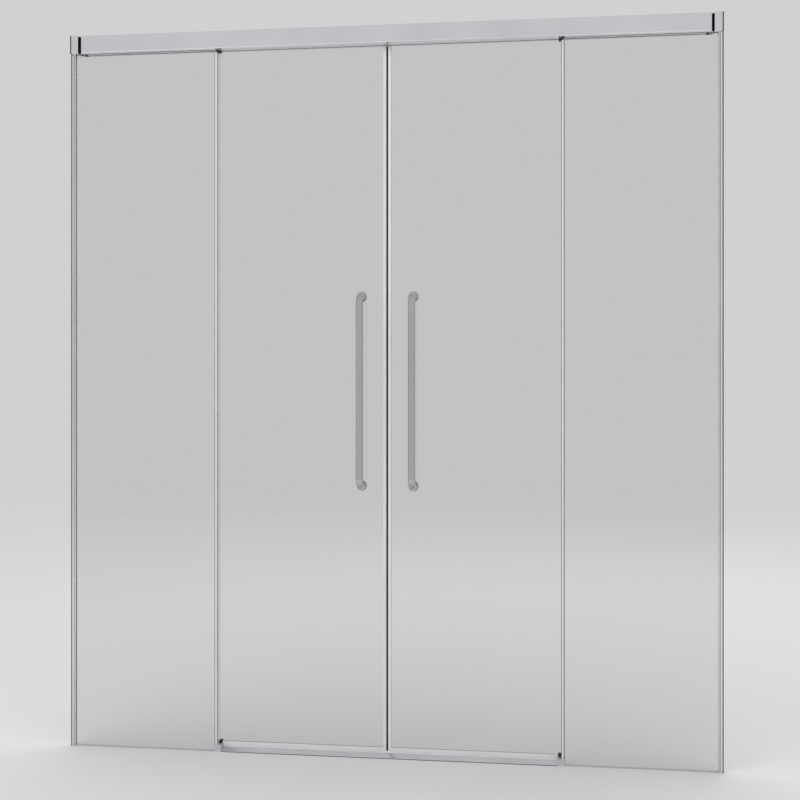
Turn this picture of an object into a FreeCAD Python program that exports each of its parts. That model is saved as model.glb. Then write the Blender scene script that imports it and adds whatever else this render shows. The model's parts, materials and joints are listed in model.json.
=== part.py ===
import FreeCAD, Part
import math
import os

# A shower front that closes a niche between two walls: two fixed glass panels at
# the sides and two glass doors that slide apart behind them, hung on rollers in a
# polished head rail.
#
# X runs to the right along the front, +Y into the shower and Z up. The origin is
# at the middle of the width, on the shower tray, in the mid plane of the fixed glass.
# Everything is drawn for the right half and mirrored for the left.

Vector = FreeCAD.Vector

# Overall size and the doorway
overall_width = 1750.0
overall_height = 1950.0
glass_thickness = 6.0
glass_arris = 0.6
doorway_half_width = 464.0
door_overlap = 6.0

# Wall profiles
profile_width = 12.0
profile_depth = 17.0
profile_wall = 1.5
profile_corner = 2.2
profile_glass_gap = 3.5
profile_lip = 1.0
wall_screw_radius = 2.5
wall_screw_count = 4
wall_screw_margin = 150.0

# Head rail
rail_height = 48.0
rail_wall = 2.0
rail_web = 2.0
rail_box_depth = 8.0
rail_lower_round = 4.0
rail_upper_round = 2.5
head_gasket_wall = 2.0
fixed_glass_rise = 26.0
track_height = 17.0
track_bead_radius = 1.5

# Rail ends: wall plate, cover, gasket and rounded trim
bracket_proud = 1.0
bracket_wall = 2.5
bracket_corner = 2.5
wall_plate_thickness = 5.0
wall_plate_step = 0.6
joint_width = 0.9
joint_depth = 2.4
bracket_cover_length = 18.0
end_gasket_thickness = 1.2
end_gasket_inset = 1.5
end_trim_length = 16.8
end_trim_round = 14.0
end_trim_back_round = 6.0
tongue_reach = 20.0
tongue_thickness = 5.0
tongue_clearance = 0.3
plate_screw_radius = 2.75
plate_screw_margin = 9.0
plate_screw_spacing = 24.0

# Rollers
wheel_running_radius = 11.0
wheel_width = 5.0
wheel_groove_depth = 1.2
wheel_recess_depth = 1.0
wheel_hub_radius = 5.0
wheel_rim = 2.4
running_gap = 0.3
axle_radius = 2.5
axle_clearance = 0.08
axle_head_radius = 4.0
axle_head_thickness = 0.6
axle_head_gap = 0.25
axle_lane_gap = 0.35
wheel_plate_gap = 0.6

# Hangers that carry the doors on the rollers
hanger_plate_thickness = 2.0
hanger_pad_thickness = 0.9
hanger_width = 52.0
hanger_shoulder = 18.0
hanger_neck = 22.0
hanger_corner = 4.0
hanger_margin = 9.0
hanger_inset = 60.0
bolt_spacing = 30.0
bolt_radius = 3.0
bolt_hole_radius = 4.0
bolt_head_radius = 7.0
bolt_head_height = 2.6
bolt_socket_radius = 2.3
bolt_head_gap = 1.4

# Doors
door_bottom_gap = 15.0
door_rise = 34.0
bolt_edge_distance = 14.0
magnet_thickness = 2.2
magnet_depth = 8.0
magnet_gap = 0.4
seal_wall = 1.0
magnet_seal_web = 1.2
magnet_seal_leg = 7.2
edge_seal_leg = 6.0
fin_thickness = 1.0
fin_gap = 0.8
fin_top_gap = 0.2
seal_top_gap = 3.0
bottom_seal_leg = 9.0
drip_lip_gap = 8.0

# Handles
handle_offset = 70.0
handle_height = 976.0
handle_centres = 505.0
handle_radius = 10.0
handle_wall = 1.5
handle_plug = 12.0
handle_bend = 20.0
handle_standoff = 34.0
rosette_radius = 13.5
rosette_thickness = 4.0
rosette_clearance = 0.1
handle_washer_thickness = 1.0
handle_hole_radius = 5.0
handle_stud_radius = 3.0
stud_grip = 10.0
stud_cap_grip = 3.5
inner_cap_radius = 12.0
inner_cap_height = 5.0
inner_cap_round = 2.0

# Threshold between the guides
sill_height = 11.0
sill_front = 6.0
sill_back = 10.5
sill_nose = 2.5
sill_ledge = 3.0
sill_wall = 1.4
sill_kick_height = 1.0
sill_kick_depth = 1.6
sill_end_gap = 0.3

# Bottom guides at the inner corners of the fixed glass
guide_inner = 12.0
guide_outer = 7.5
guide_height = 18.0
guide_floor = 3.0
guide_back_wall = 2.0
guide_corner = 1.5
insert_width = 8.2
insert_height = 27.0
insert_prong = 3.0
insert_base = 2.5
insert_flare = 1.4
slot_clearance = 0.6
foot_seal_thickness = 3.0
foot_seal_depth = 8.0
seat_gap = 0.2

# Seal blocks under the rail and the stops in the track
head_block_length = 12.0
head_block_height = 7.0
head_block_reach = 3.0
head_block_gap = 1.8
stop_length = 18.0
stop_gap = 0.5
stop_crown = 10.0
end_stop_margin = 9.5

# Places that follow from the sizes above
half_width = overall_width / 2
half_glass = glass_thickness / 2
rail_top = overall_height - bracket_proud
rail_bottom = rail_top - rail_height

profile_inner = half_width - profile_width
profile_half = profile_depth / 2
profile_inside = profile_half - profile_wall
fixed_outer = half_width - profile_wall - profile_glass_gap
fixed_bottom = foot_seal_thickness
fixed_top = rail_bottom + fixed_glass_rise

slot_half = half_glass + head_gasket_wall
slot_roof = fixed_top + head_gasket_wall
rail_front = -(slot_half + rail_web + rail_box_depth + rail_wall)
rib_back = slot_half + rail_web

wheel_front = rib_back + axle_lane_gap + axle_head_thickness + axle_head_gap
wheel_middle = wheel_front + wheel_width / 2
wheel_back = wheel_front + wheel_width
plate_front = wheel_back + wheel_plate_gap
plate_back = plate_front + hanger_plate_thickness
door_front = plate_back + hanger_pad_thickness
door_back = door_front + glass_thickness
door_middle = door_front + half_glass
bolt_head_back = door_back + bolt_head_height
rail_inside_back = bolt_head_back + bolt_head_gap
rail_back = rail_inside_back + rail_wall

track_top = rail_bottom + track_height
bead_top = track_top + track_bead_radius
axle_height = bead_top + running_gap + wheel_running_radius
wheel_flange_radius = wheel_running_radius + wheel_groove_depth

door_inner = magnet_gap / 2 + magnet_thickness + magnet_seal_web
door_outer = doorway_half_width + door_overlap
door_bottom = door_bottom_gap
door_top = rail_bottom + door_rise
bolt_height = door_top - bolt_edge_distance
inner_hanger = door_inner + hanger_inset
outer_hanger = door_outer - hanger_inset
seal_top = rail_bottom - seal_top_gap

bracket_front = rail_front - bracket_proud
bracket_back = rail_back + bracket_proud
bracket_bottom = rail_bottom - bracket_proud
bracket_top = rail_top + bracket_proud
cover_outer = half_width - wall_plate_thickness
cover_inner = cover_outer - bracket_cover_length
gasket_inner = cover_inner - end_gasket_thickness
rail_end = gasket_inner - end_trim_length
box_front = rail_front + rail_wall
box_back = box_front + rail_box_depth

guide_inner_x = doorway_half_width - guide_inner
guide_outer_x = doorway_half_width + guide_outer
insert_slot = half_glass + seal_wall + slot_clearance
insert_front = door_middle - insert_slot - insert_prong
insert_back = door_middle + insert_slot + insert_prong
guide_back = insert_back + guide_back_wall
head_block_bottom = rail_bottom - head_block_height

handle_y = door_front - handle_standoff
handle_seat = door_front - handle_washer_thickness
handle_ends = [handle_height - handle_centres / 2, handle_height + handle_centres / 2]


def box(x0, x1, y0, y1, z0, z1):
    return Part.makeBox(x1 - x0, y1 - y0, z1 - z0, Vector(x0, y0, z0))


def rod(centre, direction, radius, length):
    return Part.makeCylinder(radius, length, centre, direction)


def rounded_wire(corners, place):
    """Closed outline through (u, v, radius) corners; a radius of 0 stays sharp."""
    edges = []
    ends = []
    count = len(corners)
    for i in range(count):
        u, v, radius = corners[i]
        pu, pv = corners[i - 1][:2]
        nu, nv = corners[(i + 1) % count][:2]
        into = Vector(pu - u, pv - v, 0).normalize()
        out = Vector(nu - u, nv - v, 0).normalize()
        corner = Vector(u, v, 0)
        if radius <= 0:
            ends.append((corner, corner))
            continue
        half_angle = into.getAngle(out) / 2
        reach = radius / math.tan(half_angle)
        start = corner + into * reach
        stop = corner + out * reach
        bisector = (into + out).normalize()
        centre = corner + bisector * (radius / math.sin(half_angle))
        middle = centre - bisector * radius
        edges.append((i, Part.Arc(place(start), place(middle), place(stop)).toShape()))
        ends.append((start, stop))
    for i in range(count):
        a = ends[i][1]
        b = ends[(i + 1) % count][0]
        if a.distanceToPoint(b) > 1e-6:
            edges.append((i + 0.5, Part.LineSegment(place(a), place(b)).toShape()))
    edges.sort(key=lambda item: item[0])
    return Part.Wire([edge for _, edge in edges])


def along_x(corners, x0, x1):
    """Prism of a (y, z, radius) outline from x0 to x1."""
    wire = rounded_wire(corners, lambda p: Vector(x0, p.x, p.y))
    return Part.Face(wire).extrude(Vector(x1 - x0, 0, 0))


def along_y(corners, y0, y1):
    """Prism of an (x, z, radius) outline from y0 to y1."""
    wire = rounded_wire(corners, lambda p: Vector(p.x, y0, p.y))
    return Part.Face(wire).extrude(Vector(0, y1 - y0, 0))


def along_z(corners, z0, z1):
    """Prism of an (x, y, radius) outline from z0 to z1."""
    wire = rounded_wire(corners, lambda p: Vector(p.x, p.y, z0))
    return Part.Face(wire).extrude(Vector(0, 0, z1 - z0))


def rectangle(a0, a1, b0, b1, radius=0.0):
    return [(a0, b0, radius), (a1, b0, radius), (a1, b1, radius), (a0, b1, radius)]


def glass_panel(x0, x1, middle, z0, z1):
    panel = box(x0, x1, middle - half_glass, middle + half_glass, z0, z1)
    return panel.makeChamfer(glass_arris, panel.Edges)


# Fixed frame

def screw_heights():
    low = wall_screw_margin
    high = bracket_bottom - wall_screw_margin
    step = (high - low) / (wall_screw_count - 1)
    return [low + step * i for i in range(wall_screw_count)]


def wall_profile():
    inner = profile_inner
    lip = profile_inside - profile_lip
    web = half_width - profile_wall
    corners = [
        (half_width, -profile_half, profile_corner), (half_width, profile_half, profile_corner),
        (inner, profile_half, profile_corner), (inner, lip, 0), (inner + profile_wall, lip, 0),
        (inner + profile_wall, profile_inside, 0), (web, profile_inside, 0),
        (web, -profile_inside, 0), (inner + profile_wall, -profile_inside, 0),
        (inner + profile_wall, -lip, 0), (inner, -lip, 0), (inner, -profile_half, profile_corner),
    ]
    profile = along_z(corners, 0, bracket_bottom)
    for height in screw_heights():
        start = Vector(web - profile_wall, 0, height)
        profile = profile.cut(rod(start, Vector(1, 0, 0), wall_screw_radius, 3 * profile_wall))
    return profile


def profile_gasket():
    """Two wedge strips that hold the glass in the wall profile, one on each face."""
    inner = profile_inner
    lip = profile_inside - profile_lip
    pocket = inner + profile_wall
    outer = fixed_outer
    strip = [
        (inner, half_glass, 0.4), (outer, half_glass, 0), (outer, profile_inside, 0),
        (pocket, profile_inside, 0), (pocket, lip, 0), (inner, lip, 0.4),
    ]
    back = along_z(strip, fixed_bottom, bracket_bottom)
    front = back.mirror(Vector(0, 0, 0), Vector(0, 1, 0))
    return Part.makeCompound([front, back])


def fixed_glass():
    return glass_panel(doorway_half_width, fixed_outer, 0, fixed_bottom, fixed_top)


def head_gasket():
    """U-shaped gasket round the top edge of the fixed glass, inside the rail's slot."""
    outer = box(doorway_half_width, rail_end, -slot_half, slot_half, rail_bottom, slot_roof)
    inner = box(doorway_half_width, rail_end, -half_glass, half_glass, rail_bottom, fixed_top)
    return outer.cut(inner)


def foot_seal():
    start = guide_outer_x + seat_gap
    half = foot_seal_depth / 2
    fillet = foot_seal_thickness / 3
    corners = [(-half, 0, 0), (half, 0, 0), (half, fixed_bottom, fillet), (-half, fixed_bottom, fillet)]
    return along_x(corners, start, profile_inner - seat_gap)


def fixed_edge_seal():
    """Clip on the fixed glass's inner edge, with a fin that closes the gap to the door."""
    edge = doorway_half_width
    leg = half_glass + seal_wall
    tip = door_front - seal_wall - fin_gap
    end = edge + edge_seal_leg
    nose = edge - seal_wall
    corners = [
        (nose - fin_thickness, -leg, 0), (end, -leg, 0), (end, -half_glass, 0), (edge, -half_glass, 0),
        (edge, half_glass, 0), (end, half_glass, 0), (end, leg, 0), (nose, leg, 0), (nose, tip, 0),
        (nose - fin_thickness, tip, 0),
    ]
    return along_z(corners, guide_height + seat_gap, head_block_bottom - seat_gap)


def rail_outline():
    return [(rail_front, rail_bottom, rail_lower_round), (rail_back, rail_bottom, 0),
            (rail_back, rail_top, rail_upper_round), (rail_front, rail_top, rail_upper_round)]


def top_rail():
    inside_top = rail_top - rail_wall
    low = rail_bottom
    rail = along_x(rail_outline(), 0, rail_end)
    bore = rectangle(box_front, box_back, low + rail_wall, inside_top, rail_wall / 2)
    bore[0] = (box_front, low + rail_wall, rail_lower_round - rail_wall)
    rail = rail.cut(along_x(bore, 0, rail_end))
    rail = rail.cut(box(0, rail_end, -slot_half, slot_half, low, slot_roof))
    rail = rail.cut(box(0, rail_end, rib_back, rail_inside_back, low, inside_top))
    upper_web = box(0, rail_end, -slot_half, slot_half, slot_roof + rail_web, inside_top)
    rail = rail.cut(upper_web)
    ledge = box(0, rail_end, rib_back, wheel_back, track_top - rail_wall, track_top)
    bead = rod(Vector(0, wheel_middle, track_top), Vector(1, 0, 0), track_bead_radius, rail_end)
    rail = rail.fuse([ledge, bead])
    whole = rail.fuse(rail.mirror(Vector(0, 0, 0), Vector(1, 0, 0)))
    return whole.removeSplitter()


def end_trim():
    """Short moulded length whose outer corner turns in towards the cover."""
    front = rail_front
    inside_top = rail_top - rail_wall
    plan = [
        (rail_end, front, 0), (gasket_inner, front, end_trim_round),
        (gasket_inner, rail_back, end_trim_back_round), (rail_end, rail_back, 0),
    ]
    trim = along_z(plan, rail_bottom, rail_top)
    trim = trim.common(along_x(rail_outline(), rail_end, gasket_inner))
    trim = trim.cut(box(rail_end, gasket_inner, -slot_half, slot_half, rail_bottom, slot_roof))
    return trim.cut(box(rail_end, gasket_inner, rib_back, rail_inside_back, rail_bottom, inside_top))


def tongue(clear, x1):
    """The flat tongue under the rail's roof, or the room for it where clear is 0."""
    roof = rail_top - rail_wall
    return box(rail_end - tongue_reach, x1, rib_back + clear, rail_inside_back - clear,
               roof - tongue_thickness + clear, roof - clear)


def end_gasket():
    """Black gasket between the trim and the cover."""
    inset = end_gasket_inset
    corners = rectangle(rail_front + inset, rail_back - inset, rail_bottom + inset, rail_top - inset,
                        bracket_corner)
    gasket = along_x(corners, gasket_inner, cover_inner)
    gasket = gasket.cut(box(gasket_inner, cover_inner, -slot_half, slot_half, bracket_bottom, slot_roof))
    return gasket.cut(tongue(0, cover_inner))


def bracket_outline(step=0.0):
    return rectangle(bracket_front + step, bracket_back - step, bracket_bottom + step,
                     bracket_top - step, bracket_corner)


def wall_plate():
    """Plate screwed to the wall, with the tongue that carries the rail.

    It steps in beside the cover, so that a narrow joint shows between them.
    """
    joint_end = cover_outer + joint_width
    plate = along_x(bracket_outline(wall_plate_step), joint_end, half_width)
    plate = plate.fuse(along_x(bracket_outline(joint_depth), cover_outer, joint_end))
    plate = plate.cut(box(cover_outer, half_width, -slot_half, slot_half, bracket_bottom, slot_roof))
    plate = plate.fuse(tongue(tongue_clearance, cover_outer))
    for height in plate_screw_heights():
        start = Vector(cover_outer, plate_screw_y(), height)
        plate = plate.cut(rod(start, Vector(1, 0, 0), plate_screw_radius, wall_plate_thickness))
    return plate


def plate_screw_y():
    return (slot_half + rail_back) / 2


def plate_screw_heights():
    low = rail_bottom + plate_screw_margin
    return [low, low + plate_screw_spacing]


def bracket_cover():
    """Polished sleeve over the rail's end, open below for the fixed glass."""
    cover = along_x(bracket_outline(), cover_inner, cover_outer)
    wall = bracket_wall
    hollow = rectangle(bracket_front + wall, bracket_back - wall, bracket_bottom + wall,
                       bracket_top - wall, bracket_corner - wall / 2)
    cover = cover.cut(along_x(hollow, cover_inner, cover_outer))
    return cover.cut(box(cover_inner, cover_outer, -slot_half, slot_half, bracket_bottom, slot_roof))


def sill_profile():
    """Hollow threshold whose top rises from a low nose to a ridge at the back."""
    limit = guide_inner_x - sill_end_gap
    front = -sill_front
    kick = front + sill_kick_depth
    ridge = sill_back - sill_ledge
    half = [
        (kick, 0, 0), (sill_back, 0, 0), (sill_back, sill_height, 0.8), (ridge, sill_height, 2.5),
        (front, sill_nose, 0.5), (front, sill_kick_height, 0.3), (kick, sill_kick_height, 0),
    ]
    outer = along_x(half, -limit, limit)
    wall = sill_wall
    rise = (sill_height - sill_nose) / (ridge - front)
    low = sill_nose - wall + rise * (2 * wall)
    inner = [
        (front + 2.5 * wall, wall, 0), (sill_back - wall, wall, 0),
        (sill_back - wall, sill_height - wall, 0), (ridge + wall / 2, sill_height - wall, 0),
        (front + 2.5 * wall, max(low, wall + 0.4), 0),
    ]
    return outer.cut(along_x(inner, -limit, limit))


def bottom_guide():
    """Block that ends the threshold, grips the fixed glass's corner and lets the door through."""
    block = along_z(rectangle(guide_inner_x, guide_outer_x, -sill_front, guide_back, guide_corner),
                    0, guide_height)
    rim = [edge for edge in block.Edges if edge.BoundBox.ZMin > guide_height - 0.01]
    block = block.makeChamfer(guide_corner / 2, rim)
    glass = half_glass + seat_gap
    block = block.cut(box(doorway_half_width - seat_gap, guide_outer_x, -glass, glass,
                          fixed_bottom, guide_height))
    block = block.cut(box(guide_inner_x, guide_outer_x, door_middle - insert_slot,
                          door_middle + insert_slot, guide_floor, guide_height))
    seat = insert_seat()
    return block.cut(box(seat[0], seat[1], insert_front, insert_back, guide_floor, guide_height))


def insert_seat():
    start = guide_inner_x + guide_corner
    return start, start + insert_width


def guide_insert():
    """Black low-friction fork, flared at the mouth, that the door runs through."""
    x0, x1 = insert_seat()
    inside = insert_slot
    flare = insert_flare
    top = insert_height
    step = 3 * flare
    base = guide_floor + insert_base
    corners = [
        (insert_front, guide_floor, 0), (insert_back, guide_floor, 0), (insert_back, top, 1.0),
        (door_middle + inside + flare, top, 0), (door_middle + inside, top - step, 0),
        (door_middle + inside, base, 0), (door_middle - inside, base, 0),
        (door_middle - inside, top - step, 0), (door_middle - inside - flare, top, 0),
        (insert_front, top, 1.0),
    ]
    return along_x(corners, x0, x1)


def head_block():
    """Black seal block at the fixed glass's inner top corner, under the rail."""
    x0 = doorway_half_width - head_block_length + head_block_reach
    x1 = doorway_half_width + head_block_reach
    back = door_front - head_block_gap
    corners = [
        (half_glass, rail_bottom, 0), (back, rail_bottom, 0), (back, head_block_bottom, 1.5),
        (half_glass, head_block_bottom, 0.5),
    ]
    return along_x(corners, x0, x1)


def stop_section():
    """A stop's section: it sits over the track bead, as deep as the hanger plate."""
    top = track_top + wheel_flange_radius + stop_crown
    return [(rib_back, track_top, 0), (wheel_back, track_top, 0), (wheel_back, axle_height, 0),
            (plate_back, axle_height, 0), (plate_back, top, 1.5), (rib_back, top, 1.5)]


def track_stop(x0, x1):
    stop = along_x(stop_section(), x0, x1)
    groove = rod(Vector(x0, wheel_middle, track_top), Vector(1, 0, 0),
                 track_bead_radius + seat_gap / 4, x1 - x0)
    return stop.cut(groove)


def end_stop():
    end = rail_end - end_stop_margin
    return track_stop(end - stop_length, end)


def centre_stop():
    reach = inner_hanger - hanger_width / 2 - stop_gap
    return track_stop(-reach, reach)


# Doors

def door_glass():
    panel = glass_panel(door_inner, door_outer, door_middle, door_bottom, door_top)
    start = door_front - half_glass
    length = 2 * glass_thickness
    holes = []
    for centre in bolt_centres():
        holes.append(rod(Vector(centre, start, bolt_height), Vector(0, 1, 0), bolt_hole_radius, length))
    for height in handle_ends:
        holes.append(rod(Vector(handle_offset, start, height), Vector(0, 1, 0),
                         handle_hole_radius, length))
    return panel.cut(holes)


def hanger_centres():
    return [inner_hanger, outer_hanger]


def bolt_centres():
    half = bolt_spacing / 2
    return [centre + side for centre in hanger_centres() for side in (-half, half)]


def hanger_outline(centre):
    half = hanger_width / 2
    neck = hanger_neck / 2
    low = bolt_height - hanger_margin
    high = axle_height + hanger_margin
    shoulder = low + hanger_shoulder
    r = hanger_corner
    return [(centre - half, low, r), (centre + half, low, r), (centre + half, shoulder, r),
            (centre + neck, high, r), (centre - neck, high, r), (centre - half, shoulder, r)]


def drilled(shape, centres, radius, y0, y1):
    for centre in centres:
        shape = shape.cut(rod(Vector(centre, y0 - 1, bolt_height), Vector(0, 1, 0), radius,
                              y1 - y0 + 2))
    return shape


def hanger_plates():
    plates = []
    for centre in hanger_centres():
        plate = along_y(hanger_outline(centre), plate_front, plate_back)
        plate = drilled(plate, [centre - bolt_spacing / 2, centre + bolt_spacing / 2], bolt_radius,
                        plate_front, plate_back)
        hole = rod(Vector(centre, plate_front - 1, axle_height), Vector(0, 1, 0), axle_radius,
                   hanger_plate_thickness + 2)
        plates.append(plate.cut(hole))
    return Part.makeCompound(plates)


def hanger_pads():
    """Thin rubber pads between the hanger plates and the glass, cut off at the glass's top."""
    pads = []
    half = hanger_width / 2 - 1
    for centre in hanger_centres():
        corners = rectangle(centre - half, centre + half, bolt_height - hanger_margin + 1,
                            door_top - glass_arris, hanger_corner - 1)
        pad = along_y(corners, plate_back, door_front)
        pads.append(drilled(pad, [centre - bolt_spacing / 2, centre + bolt_spacing / 2],
                            bolt_radius, plate_back, door_front))
    return Part.makeCompound(pads)


def hanger_bolts():
    """Low domed bolts from the shower side, through the glass into the hanger plate."""
    bolts = []
    along = Vector(0, 1, 0)
    for centre in bolt_centres():
        shank_length = door_back - plate_front
        shank = rod(Vector(centre, plate_front, bolt_height), along, bolt_radius, shank_length)
        head = rod(Vector(centre, door_back, bolt_height), along, bolt_head_radius, bolt_head_height)
        rim = [edge for edge in head.Edges
               if len(edge.Vertexes) == 1 and edge.BoundBox.Center.y > bolt_head_back - 0.01]
        head = head.makeFillet(bolt_head_height / 2, rim)
        socket = along_y(hexagon(centre, bolt_height, bolt_socket_radius),
                         bolt_head_back - bolt_head_height / 2, bolt_head_back)
        bolts.append(shank.fuse(head.cut(socket)))
    return Part.makeCompound(bolts)


def hexagon(x, z, radius):
    return [(x + radius * math.cos(math.radians(60 * i)), z + radius * math.sin(math.radians(60 * i)), 0)
            for i in range(6)]


def wheel_axles():
    """Riveted axles, fixed in the hanger plates."""
    axles = []
    head_front = wheel_front - axle_head_gap - axle_head_thickness
    along = Vector(0, 1, 0)
    for centre in hanger_centres():
        pin = rod(Vector(centre, head_front, axle_height), along, axle_radius,
                  plate_back - head_front)
        head = rod(Vector(centre, head_front, axle_height), along, axle_head_radius,
                   axle_head_thickness)
        axles.append(pin.fuse(head))
    return Part.makeCompound(axles)


def wheel(centre):
    """Grooved roller that rides on the track's bead."""
    middle = Vector(centre, wheel_middle, axle_height)
    half = wheel_width / 2
    bore = axle_radius + axle_clearance
    groove_radius = track_bead_radius + running_gap
    bead_distance = axle_height - track_top
    lift = bead_distance - wheel_flange_radius
    mouth = math.sqrt(groove_radius ** 2 - lift ** 2)
    rim = wheel_running_radius - wheel_rim
    face = half - wheel_recess_depth

    def spot(y, radius):
        return Vector(centre, wheel_middle + y, axle_height - radius)

    path = [spot(mouth, wheel_flange_radius), spot(half, wheel_flange_radius), spot(half, rim),
            spot(face, rim), spot(face, wheel_hub_radius), spot(half, wheel_hub_radius),
            spot(half, bore), spot(-half, bore), spot(-half, wheel_hub_radius),
            spot(-face, wheel_hub_radius), spot(-face, rim), spot(-half, rim),
            spot(-half, wheel_flange_radius), spot(-mouth, wheel_flange_radius)]
    edges = [Part.LineSegment(path[i], path[i + 1]).toShape() for i in range(len(path) - 1)]
    bottom = spot(0, bead_distance - groove_radius)
    edges.append(Part.Arc(path[-1], bottom, path[0]).toShape())
    return Part.Face(Part.Wire(edges)).revolve(middle, Vector(0, 1, 0), 360)


def magnetic_seal():
    """Clear clip on the door's meeting edge that carries the magnet strip."""
    outer = door_inner + magnet_seal_leg
    front = door_front - seal_wall
    back = door_back + seal_wall
    nose = door_inner - magnet_seal_web
    corners = [
        (nose, front, 0.4), (outer, front, 0), (outer, door_front, 0), (door_inner, door_front, 0),
        (door_inner, door_back, 0), (outer, door_back, 0), (outer, back, 0), (nose, back, 0.4),
    ]
    return along_z(corners, door_bottom, seal_top)


def magnet_strip():
    start = magnet_gap / 2
    half = magnet_depth / 2
    corners = rectangle(start, start + magnet_thickness, door_middle - half, door_middle + half, 0.3)
    return along_z(corners, door_bottom, seal_top)


def outer_edge_seal():
    """Clear clip on the door's outer edge; its fin runs behind the fixed glass."""
    edge = door_outer
    inner = edge - edge_seal_leg
    front = door_front - seal_wall
    back = door_back + seal_wall
    nose = edge + seal_wall
    clip = along_z([
        (inner, front, 0), (nose, front, 0), (nose, back, 0.4), (inner, back, 0),
        (inner, door_back, 0), (edge, door_back, 0), (edge, door_front, 0), (inner, door_front, 0),
    ], door_bottom, seal_top)
    tip = half_glass + seal_wall + fin_gap
    fin = box(nose - fin_thickness, nose, tip, front, guide_height + fin_gap,
              head_block_bottom - fin_top_gap)
    return clip.fuse(fin).removeSplitter()


def bottom_seal():
    """Clear clip under the door with a drip lip down towards the threshold."""
    x0 = door_inner + magnet_seal_leg + seat_gap
    x1 = door_outer - edge_seal_leg - seat_gap
    front = door_front - seal_wall
    back = door_back + seal_wall
    top = door_bottom + bottom_seal_leg
    under = door_bottom - seal_wall
    lip = half_glass - fin_thickness
    corners = [
        (front, top, 0), (front, under, 0), (door_middle - lip - fin_thickness, under, 0),
        (door_middle - lip - fin_thickness, drip_lip_gap, 0), (door_middle - lip, drip_lip_gap, 0),
        (door_middle - lip, under, 0), (back, under, 0), (back, top, 0), (door_back, top, 0),
        (door_back, door_bottom, 0), (door_front, door_bottom, 0), (door_front, top, 0),
    ]
    return along_x(corners, x0, x1)


# Handles

def handle_path(trim):
    """Centre line from the lower seat to the upper one, shortened by trim at each end."""
    x = handle_offset
    low, high = handle_ends
    seat = handle_seat - trim
    bend = handle_bend
    slant = bend * (1 - math.sqrt(0.5))
    points = [
        Vector(x, seat, low), Vector(x, handle_y + bend, low),
        Vector(x, handle_y + slant, low + slant), Vector(x, handle_y, low + bend),
        Vector(x, handle_y, high - bend), Vector(x, handle_y + slant, high - slant),
        Vector(x, handle_y + bend, high), Vector(x, seat, high),
    ]
    return Part.Wire([
        Part.LineSegment(points[0], points[1]).toShape(),
        Part.Arc(points[1], points[2], points[3]).toShape(),
        Part.LineSegment(points[3], points[4]).toShape(),
        Part.Arc(points[4], points[5], points[6]).toShape(),
        Part.LineSegment(points[6], points[7]).toShape(),
    ])


def swept_tube(path, radius):
    start = path.OrderedVertexes[0].Point
    circle = Part.Wire(Part.makeCircle(radius, start, Vector(0, 1, 0)))
    return path.makePipeShell([circle], True, False)


def handle():
    """Bent tube with solid plugs in its ends, drilled for the studs."""
    tube = swept_tube(handle_path(0), handle_radius)
    tube = tube.cut(swept_tube(handle_path(handle_plug), handle_radius - handle_wall))
    for height in handle_ends:
        hole = rod(Vector(handle_offset, handle_seat - stud_grip, height), Vector(0, 1, 0),
                   handle_stud_radius, stud_grip + 1)
        tube = tube.cut(hole)
    return tube


def at_handle_ends(make):
    return Part.makeCompound([make(height) for height in handle_ends])


def ring(height, y0, thickness, outer, inner):
    along = Vector(0, 1, 0)
    disc = rod(Vector(handle_offset, y0, height), along, outer, thickness)
    return disc.cut(rod(Vector(handle_offset, y0 - 1, height), along, inner, thickness + 2))


def handle_rosettes():
    def rosette(height):
        disc = rod(Vector(handle_offset, handle_seat - rosette_thickness, height), Vector(0, 1, 0),
                   rosette_radius, rosette_thickness)
        rim = [edge for edge in disc.Edges
               if len(edge.Vertexes) == 1 and edge.BoundBox.Center.y < handle_seat - 1]
        disc = disc.makeFillet(rosette_thickness / 4, rim)
        hole = rod(Vector(handle_offset, handle_seat - 2 * rosette_thickness, height),
                   Vector(0, 1, 0), handle_radius + rosette_clearance, 3 * rosette_thickness)
        return disc.cut(hole)
    return at_handle_ends(rosette)


def handle_washers():
    """Clear washers between the metal and both faces of the glass."""
    thick = handle_washer_thickness

    def pair(height):
        outer = inner_cap_radius - 0.5
        front = ring(height, handle_seat, thick, outer + 1.5, handle_stud_radius)
        back = ring(height, door_back, thick, outer, handle_stud_radius)
        return Part.makeCompound([front, back])
    return at_handle_ends(pair)


def handle_caps():
    """Domed nuts on the shower side that hold the handle through the glass."""
    seat = door_back + handle_washer_thickness

    def cap(height):
        disc = rod(Vector(handle_offset, seat, height), Vector(0, 1, 0), inner_cap_radius,
                   inner_cap_height)
        rim = [edge for edge in disc.Edges
               if len(edge.Vertexes) == 1 and edge.BoundBox.Center.y > seat + 1]
        disc = disc.makeFillet(inner_cap_round, rim)
        return disc.cut(rod(Vector(handle_offset, seat - 1, height), Vector(0, 1, 0),
                            handle_stud_radius, stud_cap_grip + 1))
    return at_handle_ends(cap)


def handle_studs():
    start = handle_seat - stud_grip
    end = door_back + handle_washer_thickness + stud_cap_grip
    return at_handle_ends(lambda height: rod(Vector(handle_offset, start, height), Vector(0, 1, 0),
                                             handle_stud_radius, end - start))


# Files

def mirrored(shape):
    return shape.mirror(Vector(0, 0, 0), Vector(1, 0, 0))


def save(name, shape):
    shape.exportStep(f"parts/{name}.step")


def save_sides(name, shape):
    save(f"{name}_right", shape)
    save(f"{name}_left", mirrored(shape))


def save_pair(name, shape):
    save(name, Part.makeCompound([mirrored(shape), shape]))


os.makedirs("parts", exist_ok=True)

save("top_rail", top_rail())
save("sill_profile", sill_profile())
save("rail_centre_stop", centre_stop())
save_pair("rail_end_stops", end_stop())
save_pair("rail_end_gaskets", end_gasket())
save_pair("head_seal_blocks", head_block())
save_pair("foot_seals", foot_seal())

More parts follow.
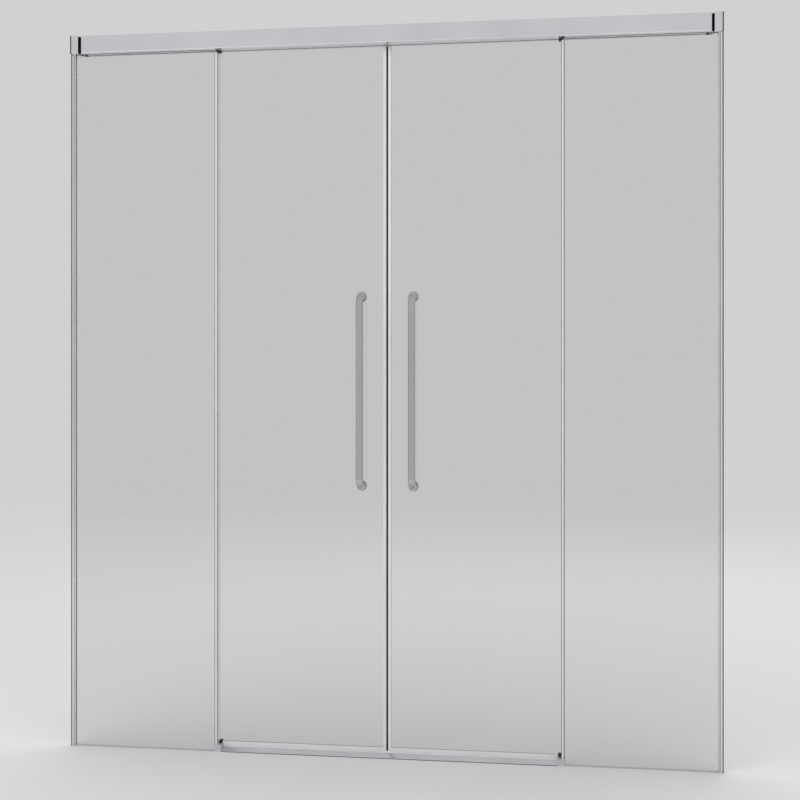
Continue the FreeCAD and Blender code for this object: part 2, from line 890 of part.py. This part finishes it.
for name, shape in [
    ("rail_end_trim", end_trim()),
    ("bracket_wall_plate", wall_plate()),
    ("bracket_cover", bracket_cover()),
    ("wall_profile", wall_profile()),
    ("profile_gasket", profile_gasket()),
    ("fixed_glass", fixed_glass()),
    ("head_gasket", head_gasket()),
    ("fixed_edge_seal", fixed_edge_seal()),
    ("bottom_guide", bottom_guide()),
    ("guide_insert", guide_insert()),
    ("door_glass", door_glass()),
    ("magnetic_seal", magnetic_seal()),
    ("magnet_strip", magnet_strip()),
    ("outer_edge_seal", outer_edge_seal()),
    ("bottom_seal", bottom_seal()),
    ("hanger_plates", hanger_plates()),
    ("hanger_pads", hanger_pads()),
    ("hanger_bolts", hanger_bolts()),
    ("wheel_axles", wheel_axles()),
    ("handle", handle()),
    ("handle_rosettes", handle_rosettes()),
    ("handle_washers", handle_washers()),
    ("handle_caps", handle_caps()),
    ("handle_studs", handle_studs()),
    ("inner_wheel", wheel(inner_hanger)),
    ("outer_wheel", wheel(outer_hanger)),
]:
    save_sides(name, shape)
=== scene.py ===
import json
import math

import bmesh
import bpy
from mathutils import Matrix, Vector


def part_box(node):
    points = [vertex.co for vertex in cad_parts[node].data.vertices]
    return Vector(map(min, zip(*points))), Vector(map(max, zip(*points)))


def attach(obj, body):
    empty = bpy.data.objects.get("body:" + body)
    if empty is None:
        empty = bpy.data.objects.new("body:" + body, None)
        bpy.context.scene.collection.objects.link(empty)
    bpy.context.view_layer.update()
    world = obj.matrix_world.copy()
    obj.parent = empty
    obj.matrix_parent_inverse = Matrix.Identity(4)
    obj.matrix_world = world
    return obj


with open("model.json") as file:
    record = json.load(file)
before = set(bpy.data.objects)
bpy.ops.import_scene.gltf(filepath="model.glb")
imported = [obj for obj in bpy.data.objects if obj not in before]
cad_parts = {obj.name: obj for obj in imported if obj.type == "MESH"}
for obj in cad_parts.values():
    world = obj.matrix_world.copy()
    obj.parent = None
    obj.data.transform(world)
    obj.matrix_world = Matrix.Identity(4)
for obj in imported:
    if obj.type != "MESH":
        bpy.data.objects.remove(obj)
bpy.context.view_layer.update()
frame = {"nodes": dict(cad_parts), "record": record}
nodes = frame["nodes"]
print("frame loaded,", len(nodes), "nodes")

# Lengths are metres, angles degrees. +X is right along the front, +Y into the shower.

photoView = {"place": (0.529, -3.446, 1.03), "turn": 8.13, "lens": 58.95, "sensor": 36.0,
             "shiftUp": -0.036, "farthest": 60.0}


def aimCamera():
    data = bpy.data.cameras.new("photoCamera")
    data.lens = photoView["lens"]
    data.sensor_width = photoView["sensor"]
    data.shift_y = photoView["shiftUp"]
    data.clip_end = photoView["farthest"]
    camera = bpy.data.objects.new("photoCamera", data)
    camera.location = photoView["place"]
    camera.rotation_euler = (math.radians(90), 0, math.radians(photoView["turn"]))
    bpy.context.scene.collection.objects.link(camera)
    bpy.context.scene.camera = camera


aimCamera()
bpy.context.scene.view_settings.view_transform = "Standard"
print("camera placed")


# Small helpers for node trees

def addNode(tree, kind, inputs=None, **settings):
    node = tree.nodes.new(kind)
    for key, value in settings.items():
        setattr(node, key, value)
    for key, value in (inputs or {}).items():
        node.inputs[key].default_value = value
    return node


def wire(tree, source, target):
    tree.links.new(source, target)
    return target


def newMaterial(name):
    material = bpy.data.materials.new(name)
    material.use_nodes = True
    tree = material.node_tree
    return material, tree, tree.nodes["Principled BSDF"], tree.nodes["Material Output"]


def objectCoordinates(tree, scale=(1, 1, 1)):
    coordinates = addNode(tree, "ShaderNodeTexCoord")
    mapping = addNode(tree, "ShaderNodeMapping", {"Scale": scale})
    wire(tree, coordinates.outputs["Object"], mapping.inputs["Vector"])
    return mapping.outputs["Vector"]


def noise(tree, place, scale, detail=3.0):
    node = addNode(tree, "ShaderNodeTexNoise", {"Scale": scale, "Detail": detail})
    wire(tree, place, node.inputs["Vector"])
    return node.outputs["Fac"]


# A noise pattern keeps mostly between 0.3 and 0.7
def remap(tree, source, low, high, fromLow=0.3, fromHigh=0.7):
    node = addNode(tree, "ShaderNodeMapRange", {
        "From Min": fromLow, "From Max": fromHigh, "To Min": low, "To Max": high})
    wire(tree, source, node.inputs["Value"])
    return node.outputs["Result"]


# Each value is a number or another node's output
def calculate(tree, operation, *values):
    node = addNode(tree, "ShaderNodeMath", operation=operation)
    for socket, value in zip(node.inputs, values):
        if isinstance(value, (int, float)):
            socket.default_value = value
        else:
            wire(tree, value, socket)
    return node.outputs["Value"]


# Each colour is a tuple or another node's output
def mixColours(tree, factor, first, second):
    node = addNode(tree, "ShaderNodeMix", data_type="RGBA")
    wire(tree, factor, node.inputs["Factor"])
    for key, colour in (("A", first), ("B", second)):
        if isinstance(colour, tuple):
            node.inputs[key].default_value = (*colour, 1)
        else:
            wire(tree, colour, node.inputs[key])
    return node.outputs["Result"]


def splitVector(tree, source):
    node = addNode(tree, "ShaderNodeSeparateXYZ")
    wire(tree, source, node.inputs["Vector"])
    return node.outputs


def mixShaders(tree, factor, first, second):
    node = addNode(tree, "ShaderNodeMixShader")
    wire(tree, factor, node.inputs["Fac"])
    wire(tree, first, node.inputs[1])
    wire(tree, second, node.inputs[2])
    return node.outputs["Shader"]


def relief(tree, shader, height, depth):
    bump = addNode(tree, "ShaderNodeBump", {"Strength": 1.0, "Distance": depth})
    wire(tree, height, bump.inputs["Height"])
    wire(tree, bump.outputs["Normal"], shader.inputs["Normal"])


# Materials. Each takes its pattern from the object's own coordinates.

alongX = (0.5, 55.0, 55.0)
alongZ = (55.0, 55.0, 0.5)
everyWay = (1.0, 1.0, 1.0)

metalLooks = {
    "polishedRail": {"light": (0.86, 0.87, 0.885), "dark": (0.80, 0.81, 0.83), "smooth": 0.025,
                     "rough": 0.055, "grain": alongX, "grainScale": 14.0, "depth": 0.000004},
    "polishedProfile": {"light": (0.86, 0.87, 0.885), "dark": (0.79, 0.80, 0.82), "smooth": 0.16,
                        "rough": 0.26, "grain": alongZ, "grainScale": 14.0, "depth": 0.000005},
    "sillMetal": {"light": (0.80, 0.81, 0.825), "dark": (0.72, 0.73, 0.75), "smooth": 0.11,
                  "rough": 0.19, "grain": alongX, "grainScale": 20.0, "depth": 0.000006},
    "castPlate": {"light": (0.87, 0.88, 0.89), "dark": (0.81, 0.82, 0.83), "smooth": 0.30,
                  "rough": 0.42, "grain": everyWay, "grainScale": 900.0, "depth": 0.00003},
    "handleChrome": {"light": (0.56, 0.565, 0.57), "dark": (0.53, 0.535, 0.54), "smooth": 0.025,
                     "rough": 0.055, "grain": alongZ, "grainScale": 8.0, "depth": 0.000002},
    "stainless": {"light": (0.72, 0.72, 0.73), "dark": (0.62, 0.62, 0.635), "smooth": 0.18,
                  "rough": 0.30, "grain": everyWay, "grainScale": 1400.0, "depth": 0.000006},
}


# Scale of the slow change of colour over each metal
metalBloom = 7.0


def metal(name):
    look = metalLooks[name]
    material, tree, shader, _ = newMaterial(name)
    shader.inputs["Metallic"].default_value = 1.0
    grain = noise(tree, objectCoordinates(tree, look["grain"]), look["grainScale"], 4.0)
    bloom = noise(tree, objectCoordinates(tree), metalBloom, 2.0)
    wire(tree, mixColours(tree, remap(tree, bloom, 0, 1), look["dark"], look["light"]),
         shader.inputs["Base Color"])
    wire(tree, remap(tree, grain, look["smooth"], look["rough"]), shader.inputs["Roughness"])
    relief(tree, shader, grain, look["depth"])
    return material


glassLook = {"face": (0.843, 0.849, 0.854), "edge": (0.56, 0.66, 0.65), "faceRough": 0.0,
             "edgeRough": 0.20, "edgeTurns": (0.55, 0.95), "ior": 1.5, "shadow": (0.86, 0.88, 0.88)}


def lightPasses(tree, shader, output, shade):
    # lamps shine through, so the panel's shadow stays pale
    path = addNode(tree, "ShaderNodeLightPath")
    clear = addNode(tree, "ShaderNodeBsdfTransparent", {"Color": (*shade, 1)})
    mixed = mixShaders(tree, path.outputs["Is Shadow Ray"], shader.outputs["BSDF"],
                       clear.outputs["BSDF"])
    wire(tree, mixed, output.inputs["Surface"])


def clearGlass():
    material, tree, shader, output = newMaterial("clearGlass")
    shader.inputs["IOR"].default_value = glassLook["ior"]
    shader.inputs["Transmission Weight"].default_value = 1.0
    # the narrow ground edges face any way but Y
    coordinates = addNode(tree, "ShaderNodeTexCoord")
    facing = splitVector(tree, coordinates.outputs["Normal"])
    edge = remap(tree, calculate(tree, "ABSOLUTE", facing["Y"]), 1.0, 0.0, *glassLook["edgeTurns"])
    wire(tree, mixColours(tree, edge, glassLook["face"], glassLook["edge"]), shader.inputs["Base Color"])
    wire(tree, remap(tree, edge, glassLook["faceRough"], glassLook["edgeRough"], 0, 1),
         shader.inputs["Roughness"])
    lightPasses(tree, shader, output, glassLook["shadow"])
    return material


edgeSealLow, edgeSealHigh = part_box("fixed_edge_seal_right")

softLooks = {
    "clearSeal": {"light": (0.95, 0.955, 0.96), "dark": (0.88, 0.89, 0.90), "transmission": 0.62,
                  "smooth": 0.05, "rough": 0.12, "grain": alongZ, "grainScale": 16.0,
                  "depth": 0.00001, "shadow": (0.80, 0.81, 0.81)},
    "milkySeal": {"light": (0.97, 0.97, 0.975), "dark": (0.93, 0.935, 0.94), "transmission": 0.28,
                  "smooth": 0.16, "rough": 0.28, "grain": alongZ, "grainScale": 16.0,
                  "depth": 0.00002, "shadow": (0.70, 0.71, 0.71)},
    # painted shade: the edge seal carries painted dark lines along its corners
    "edgeSeal": {"light": (0.98, 0.98, 0.985), "dark": (0.95, 0.955, 0.96), "transmission": 0.30,
                 "smooth": 0.10, "rough": 0.20, "grain": alongZ, "grainScale": 16.0, "depth": 0.00002,
                 "shadow": (0.70, 0.71, 0.71), "between": (edgeSealLow.x, edgeSealHigh.x),
                 "line": 0.0013, "lineBlur": (0.0003, 0.0001), "shadeLineColour": (0.10, 0.105, 0.11)},
    "clearGasket": {"light": (0.90, 0.91, 0.91), "dark": (0.82, 0.83, 0.835), "transmission": 0.30,
                    "smooth": 0.28, "rough": 0.42, "grain": alongZ, "grainScale": 12.0,
                    "depth": 0.00002, "shadow": (0.60, 0.61, 0.61)},
}

# How strongly the soft seals bend light, and the scale of their slow change of colour
softIor = 1.46
softBloom = 11.0


def cornerShadeLines(tree, look):
    # painted shade: dark lines painted on the clip's front and back faces along its length, where its
    # clear corners look dark
    coordinates = addNode(tree, "ShaderNodeTexCoord")
    across = splitVector(tree, coordinates.outputs["Object"])["X"]
    low, high = look["between"]
    middle = (low + high) / 2
    fromMiddle = calculate(tree, "SUBTRACT", calculate(tree, "ABSOLUTE", across), middle)
    line = high - middle - look["line"]
    before, after = look["lineBlur"]
    beside = remap(tree, calculate(tree, "ABSOLUTE", fromMiddle), 0, 1, line - before, line + after)
    facing = splitVector(tree, coordinates.outputs["Normal"])["Y"]
    return calculate(tree, "MULTIPLY", beside, calculate(tree, "ABSOLUTE", facing))


def softClear(name):
    look = softLooks[name]
    material, tree, shader, output = newMaterial(name)
    shader.inputs["IOR"].default_value = softIor
    shader.inputs["Transmission Weight"].default_value = look["transmission"]
    grain = noise(tree, objectCoordinates(tree, look["grain"]), look["grainScale"])
    bloom = noise(tree, objectCoordinates(tree), softBloom, 2.0)
    colour = mixColours(tree, remap(tree, bloom, 0, 1), look["dark"], look["light"])
    if "between" in look:
        # painted shade along the clip's corners
        colour = mixColours(tree, cornerShadeLines(tree, look), colour, look["shadeLineColour"])
    wire(tree, colour, shader.inputs["Base Color"])
    wire(tree, remap(tree, grain, look["smooth"], look["rough"]), shader.inputs["Roughness"])
    relief(tree, shader, grain, look["depth"])
    lightPasses(tree, shader, output, look["shadow"])
    return material


mouldedLooks = {
    "magnetBlack": {"light": (0.008, 0.008, 0.009), "dark": (0.004, 0.004, 0.004), "smooth": 0.50,
                    "rough": 0.66, "scale": 700.0, "depth": 0.00001, "gloss": 0.15},
    "blackRubber": {"light": (0.014, 0.014, 0.015), "dark": (0.007, 0.007, 0.008), "smooth": 0.52,
                    "rough": 0.72, "scale": 900.0, "depth": 0.00002, "gloss": 0.25},
    "guideGrey": {"light": (0.52, 0.53, 0.55), "dark": (0.45, 0.46, 0.48), "smooth": 0.28,
                  "rough": 0.40, "scale": 1200.0, "depth": 0.000012},
    "guideBlack": {"light": (0.034, 0.034, 0.036), "dark": (0.017, 0.017, 0.018), "smooth": 0.34,
                   "rough": 0.52, "scale": 1100.0, "depth": 0.000015},
    "stopRubber": {"light": (0.060, 0.060, 0.064), "dark": (0.036, 0.036, 0.040), "smooth": 0.55,
                   "rough": 0.75, "scale": 800.0, "depth": 0.00002},
    "paleTrim": {"light": (0.88, 0.885, 0.89), "dark": (0.82, 0.825, 0.83), "smooth": 0.20,
                 "rough": 0.34, "scale": 500.0, "depth": 0.00001},
    "padRubber": {"light": (0.13, 0.13, 0.137), "dark": (0.095, 0.095, 0.10), "smooth": 0.55,
                  "rough": 0.72, "scale": 900.0, "depth": 0.00001},
    "wheelNylon": {"light": (0.89, 0.885, 0.86), "dark": (0.80, 0.795, 0.765), "smooth": 0.26,
                   "rough": 0.40, "scale": 600.0, "depth": 0.000008},
}


# Scale of the slow change of colour over each moulded piece
mouldedBloom = 38.0


def moulded(name):
    look = mouldedLooks[name]
    material, tree, shader, _ = newMaterial(name)
    shader.inputs["Specular IOR Level"].default_value = look.get("gloss", 0.5)
    place = objectCoordinates(tree)
    grain = noise(tree, place, look["scale"])
    bloom = noise(tree, place, mouldedBloom)
    wire(tree, mixColours(tree, remap(tree, bloom, 0, 1), look["dark"], look["light"]),
         shader.inputs["Base Color"])
    wire(tree, remap(tree, grain, look["smooth"], look["rough"]), shader.inputs["Roughness"])
    relief(tree, shader, grain, look["depth"])
    return material


materials = {name: metal(name) for name in metalLooks}
materials.update({name: softClear(name) for name in softLooks})
materials.update({name: moulded(name) for name in mouldedLooks})
materials["clearGlass"] = clearGlass()

# The record's slots and the finish that each one gets
finishes = {
    "polished_rail": "polishedRail", "polished_profile": "polishedProfile", "sill_metal": "sillMetal",
    "wall_plate_metal": "castPlate", "clear_glass": "clearGlass", "clear_gasket": "clearGasket",
    "clear_seal": "clearSeal", "magnet_black": "magnetBlack", "black_rubber": "blackRubber",
    "guide_grey": "guideGrey", "guide_black": "guideBlack", "stop_rubber": "stopRubber",
    "stainless": "stainless", "pad_rubber": "padRubber", "handle_chrome": "handleChrome",
    "wheel_nylon": "wheelNylon",
}

# Nodes whose finish differs from their slot's
ownFinish = {"magnetic_seal_left": "milkySeal", "magnetic_seal_right": "milkySeal",
             "bottom_seal_left": "milkySeal", "bottom_seal_right": "milkySeal",
             "profile_gasket_left": "milkySeal", "profile_gasket_right": "milkySeal",
             "fixed_edge_seal_left": "edgeSeal", "fixed_edge_seal_right": "edgeSeal"}


def dressNodes():
    for part in frame["record"]["subparts"]:
        name = part["node"]
        finish = ownFinish.get(name, finishes[part["material_slot"]])
        for slot in nodes[name].material_slots:
            slot.material = materials[finish]


dressNodes()
print("materials on", len(nodes), "nodes")


# Geometry Nodes helpers

def newTree(name, sockets):
    tree = bpy.data.node_groups.new(name, "GeometryNodeTree")
    tree.interface.new_socket("Geometry", in_out="OUTPUT", socket_type="NodeSocketGeometry")
    for label, kind in sockets:
        tree.interface.new_socket(label, in_out="INPUT", socket_type="NodeSocket" + kind)
    return tree, addNode(tree, "NodeGroupInput"), addNode(tree, "NodeGroupOutput")


def runTree(name, tree, values):
    host = bpy.data.objects.new(name, bpy.data.meshes.new(name))
    bpy.context.scene.collection.objects.link(host)
    modifier = host.modifiers.new("shape", "NODES")
    modifier.node_group = tree
    for item in tree.interface.items_tree:
        if item.in_out == "INPUT" and item.name in values:
            modifier[item.identifier] = values[item.name]
    graph = bpy.context.evaluated_depsgraph_get()
    mesh = bpy.data.meshes.new_from_object(host.evaluated_get(graph),
                                           preserve_all_data_layers=True, depsgraph=graph)
    host.modifiers.remove(modifier)
    host.data = mesh
    mesh.name = name
    return host


# Thin trim: a rounded bar swept along a straight run or round a bracket

# Segments in each rounded corner of a bar's section and of a ring's path
sectionSteps = 3
bendSteps = 5


def roundCorners(tree, curve, radius, steps):
    node = addNode(tree, "GeometryNodeFilletCurve", {"Count": steps, "Limit Radius": True}, mode="POLY")
    wire(tree, curve, node.inputs["Curve"])
    wire(tree, radius, node.inputs["Radius"])
    return node.outputs["Curve"]


def finishSweep(tree, given, path, result):
    upright = addNode(tree, "GeometryNodeSetCurveNormal", mode="Z_UP")
    wire(tree, path, upright.inputs["Curve"])
    outline = addNode(tree, "GeometryNodeCurvePrimitiveQuadrilateral")
    wire(tree, given.outputs["Thickness"], outline.inputs["Width"])
    wire(tree, given.outputs["Rise"], outline.inputs["Height"])
    rounded = roundCorners(tree, outline.outputs["Curve"], given.outputs["Corner"], sectionSteps)
    bar = addNode(tree, "GeometryNodeCurveToMesh", {"Fill Caps": True})
    wire(tree, upright.outputs["Curve"], bar.inputs["Curve"])
    wire(tree, rounded, bar.inputs["Profile Curve"])
    place = addNode(tree, "GeometryNodeTransform")
    wire(tree, bar.outputs["Mesh"], place.inputs["Geometry"])
    wire(tree, given.outputs["Place"], place.inputs["Translation"])
    wire(tree, given.outputs["Turn"], place.inputs["Rotation"])
    real = addNode(tree, "GeometryNodeRealizeInstances")
    wire(tree, place.outputs["Geometry"], real.inputs["Geometry"])
    paint = addNode(tree, "GeometryNodeSetMaterial")
    wire(tree, real.outputs["Geometry"], paint.inputs["Geometry"])
    wire(tree, given.outputs["Material"], paint.inputs["Material"])
    wire(tree, paint.outputs["Geometry"], result.inputs["Geometry"])
    return tree


sectionSockets = [("Thickness", "Float"), ("Rise", "Float"), ("Corner", "Float"),
                  ("Place", "Vector"), ("Turn", "Rotation"), ("Material", "Material")]


def barTree():
    tree, given, result = newTree("bar", [("Half Length", "Vector")] + sectionSockets)
    back = addNode(tree, "ShaderNodeVectorMath", {1: (-1, -1, -1)}, operation="MULTIPLY")
    wire(tree, given.outputs["Half Length"], back.inputs[0])
    line = addNode(tree, "GeometryNodeCurvePrimitiveLine")
    wire(tree, back.outputs["Vector"], line.inputs["Start"])
    wire(tree, given.outputs["Half Length"], line.inputs["End"])
    return finishSweep(tree, given, line.outputs["Curve"], result)


def ringTree():
    tree, given, result = newTree("ring", [("Across", "Float"), ("Along", "Float"), ("Bend", "Float")]
                                  + sectionSockets)
    loop = addNode(tree, "GeometryNodeCurvePrimitiveQuadrilateral")
    wire(tree, given.outputs["Across"], loop.inputs["Width"])
    wire(tree, given.outputs["Along"], loop.inputs["Height"])
    rounded = roundCorners(tree, loop.outputs["Curve"], given.outputs["Bend"], bendSteps)
    return finishSweep(tree, given, rounded, result)


railLow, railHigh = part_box("top_rail")
sillLow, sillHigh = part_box("sill_profile")
profileLow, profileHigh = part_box("wall_profile_right")
coverLow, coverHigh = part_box("bracket_cover_right")
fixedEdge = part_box("fixed_glass_right")[0].x
doorFront, doorBack = (corner.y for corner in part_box("door_glass_right"))
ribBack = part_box("rail_centre_stop")[0].y

# Each bar's low and high corner; a bar with two sides lies at the right and at the left
bars = {
    # fills the rail's glass slot over the doorway
    "slotFiller": {"low": (0.0016 - fixedEdge, -0.0049, railLow.z + 0.0003),
                   "high": (fixedEdge - 0.0016, 0.0049, railLow.z + 0.0038),
                   "corner": 0.0008, "finish": "paleTrim", "slot": "clear_gasket"},
    # lips that close the roller channel before and behind the doors
    "frontLip": {"low": (0.001 - railHigh.x, ribBack, railLow.z + 0.0004),
                 "high": (railHigh.x - 0.001, doorFront - 0.0009, railLow.z + 0.0020),
                 "corner": 0.0005, "finish": "paleTrim", "slot": "clear_gasket"},
    "backLip": {"low": (0.001 - railHigh.x, doorBack + 0.0006, railLow.z + 0.0004),
                "high": (railHigh.x - 0.001, railHigh.y - 0.0021, railLow.z + 0.0020),
                "corner": 0.0005, "finish": "paleTrim", "slot": "clear_gasket"},
    # painted shade: a dark strip under the threshold's nose stands in for the contact shadow there
    "sillShadeStrip": {"low": (0.001 - sillHigh.x, sillLow.y - 0.0003, 0.0001),
                 "high": (sillHigh.x - 0.001, sillLow.y + 0.0016, 0.0015),
                 "corner": 0.0001, "finish": "blackRubber", "slot": "black_rubber"},
    # painted shade: a thin dark strip along the wall profile's wall edge stands in for the shadow gap at
    # the wall
    "wallShadeStrip": {"low": (profileHigh.x - 0.0026, profileLow.y - 0.00025, 0.0003),
                 "high": (profileHigh.x - 0.00005, profileLow.y + 0.0015, profileHigh.z - 0.0003),
                 "corner": 0.0002, "finish": "blackRubber", "slot": "black_rubber", "sides": 2},
    # dark strip laid flush along the wall profile's face
    "profileDarkStrip": {"low": (profileHigh.x - 0.0094, profileLow.y - 0.00005, 0.0003),
                    "high": (profileHigh.x - 0.0080, profileLow.y + 0.0008, profileHigh.z - 0.0003),
                    "corner": 0.0002, "finish": "blackRubber", "slot": "black_rubber", "sides": 2},
}

# Each ring runs round a bracket: its place along X, its width there, how far it lies inside the
# cover's outline and how thick it is
rings = {
    # painted shade: a dark ring round the bracket at the wall stands in for the shadow gap there
    "plateShadeRing": {"x": profileHigh.x - 0.00125, "width": 0.0024, "inset": 0.00035,
                  "thickness": 0.0005, "bend": 0.0020, "corner": 0.0001,
                  "finish": "blackRubber", "slot": "black_rubber"},
    "coverSeal": {"x": coverHigh.x + 0.00045, "width": 0.0008, "inset": 0.0004,
                  "thickness": 0.0018, "bend": 0.0020, "corner": 0.0001,
                  "finish": "blackRubber", "slot": "black_rubber"},
}


def keepTrim(piece, body="fixed_frame"):
    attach(piece, body)


def layBars():
    tree = barTree()
    for name, look in bars.items():
        low, high = Vector(look["low"]), Vector(look["high"])
        size, middle = high - low, (low + high) / 2
        upright = size.z > size.x
        for sign in (1, -1)[:look.get("sides", 1)]:
            bar = runTree(name + ("_left" if sign < 0 else "_right") * ("sides" in look), tree, {
                "Half Length": (max(size.x, size.z) / 2, 0, 0), "Thickness": size.y,
                "Rise": min(size.x, size.z), "Corner": look["corner"],
                "Place": (sign * middle.x, middle.y, middle.z),
                "Turn": (0, -math.pi / 2 if upright else 0, 0), "Material": materials[look["finish"]]})
            keepTrim(bar)


def layRings():
    tree = ringTree()
    middle, size = (coverLow + coverHigh) / 2, coverHigh - coverLow
    for name, look in rings.items():
        lessen = 2 * look["inset"] + look["thickness"]
        for side, sign in (("left", -1), ("right", 1)):
            ring = runTree(f"{name}_{side}", tree, {
                "Across": size.y - lessen, "Along": size.z - lessen, "Bend": look["bend"],
                "Thickness": look["thickness"], "Rise": look["width"], "Corner": look["corner"],
                "Place": (sign * look["x"], middle.y, middle.z),
                "Turn": (math.pi / 2, 0, math.pi / 2), "Material": materials[look["finish"]]})
            keepTrim(ring)


# Dark rings between the handles' rosettes and the door glass
handleSeal = {"thickness": 0.0010, "width": 0.0009, "behind": 0.0005, "roundness": 0.94,
              "corner": 0.0002, "finish": "blackRubber", "slot": "black_rubber"}


def layHandleSeals():
    tree, look = ringTree(), handleSeal
    for side in ("left", "right"):
        low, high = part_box(f"handle_rosettes_{side}")
        radius = (high.x - low.x) / 2
        for end, height in (("Top", high.z - radius), ("Foot", low.z + radius)):
            ring = runTree(f"handleSeal{end}_{side}", tree, {
                "Across": 2 * radius, "Along": 2 * radius, "Bend": radius * look["roundness"],
                "Thickness": look["thickness"], "Rise": look["width"], "Corner": look["corner"],
                "Place": ((low.x + high.x) / 2, high.y + look["behind"], height),
                "Turn": (math.pi / 2, 0, 0), "Material": materials[look["finish"]]})
            keepTrim(ring, f"{side}_door")


layBars()
layRings()
layHandleSeals()
print("trim laid,", len(bars), "bars and", len(rings), "rings at the wall, seals at the handles")


# Studio: a pale floor that fades into the background, and soft light

studio = {"background": (0.636, 0.638, 0.645), "light": 0.82, "floorRadius": 9.0, "floorSides": 96,
          "fadeStart": 2.6, "fadeEnd": 8.0, "floorColour": (0.79, 0.79, 0.795), "floorRough": 0.9}


def layFloor():
    mesh = bpy.data.meshes.new("floor")
    build = bmesh.new()
    bmesh.ops.create_circle(build, cap_ends=True, segments=studio["floorSides"],
                            radius=studio["floorRadius"])
    build.to_mesh(mesh)
    build.free()
    floor = bpy.data.objects.new("floor", mesh)
    bpy.context.scene.collection.objects.link(floor)
    material, tree, shader, output = newMaterial("floorPaint")
    shader.inputs["Base Color"].default_value = (*studio["floorColour"], 1)
    shader.inputs["Roughness"].default_value = studio["floorRough"]
    coordinates = addNode(tree, "ShaderNodeTexCoord")
    reach = addNode(tree, "ShaderNodeVectorMath", operation="LENGTH")
    wire(tree, coordinates.outputs["Object"], reach.inputs[0])
    fade = remap(tree, reach.outputs["Value"], 0, 1, studio["fadeStart"], studio["fadeEnd"])
    clear = addNode(tree, "ShaderNodeBsdfTransparent")
    wire(tree, mixShaders(tree, fade, shader.outputs["BSDF"], clear.outputs["BSDF"]),
         output.inputs["Surface"])
    mesh.materials.append(material)


def lightWorld():
    world = bpy.data.worlds.new("studio")
    bpy.context.scene.world = world
    world.use_nodes = True
    tree = world.node_tree
    light = tree.nodes["Background"]
    light.inputs["Color"].default_value = (1, 1, 1, 1)
    light.inputs["Strength"].default_value = studio["light"]
    pale = addNode(tree, "ShaderNodeBackground", {"Color": (*studio["background"], 1)})
    path = addNode(tree, "ShaderNodeLightPath")
    # metal and glass show the same plain background as the camera sees
    shown = calculate(tree, "MAXIMUM", path.outputs["Is Glossy Ray"],
                      path.outputs["Is Transmission Ray"])
    plain = calculate(tree, "MAXIMUM", path.outputs["Is Camera Ray"], shown)
    wire(tree, mixShaders(tree, plain, light.outputs["Background"], pale.outputs["Background"]),
         tree.nodes["World Output"].inputs["Surface"])


# Soft lamps: place, point aimed at, width, height and power
softLamps = {
    "frontLamp": {"place": (-1.9, -4.2, 3.8), "aim": (0.0, 0.0, 0.9), "size": (2.6, 2.6), "power": 62.0},
    "backLamp": {"place": (2.2, 3.6, 3.6), "aim": (0.0, 0.0, 0.9), "size": (2.2, 2.2), "power": 26.0},
}


def hangLamps():
    for name, look in softLamps.items():
        data = bpy.data.lights.new(name, "AREA")
        data.shape = "RECTANGLE"
        data.size, data.size_y = look["size"]
        data.energy = look["power"]
        lamp = bpy.data.objects.new(name, data)
        lamp.location = look["place"]
        aim = Vector(look["aim"]) - Vector(look["place"])
        lamp.rotation_euler = aim.to_track_quat("-Z", "Y").to_euler()
        lamp.visible_camera = False
        lamp.visible_transmission = False
        lamp.visible_glossy = False
        bpy.context.scene.collection.objects.link(lamp)


layFloor()
lightWorld()
hangLamps()
print("studio lit")
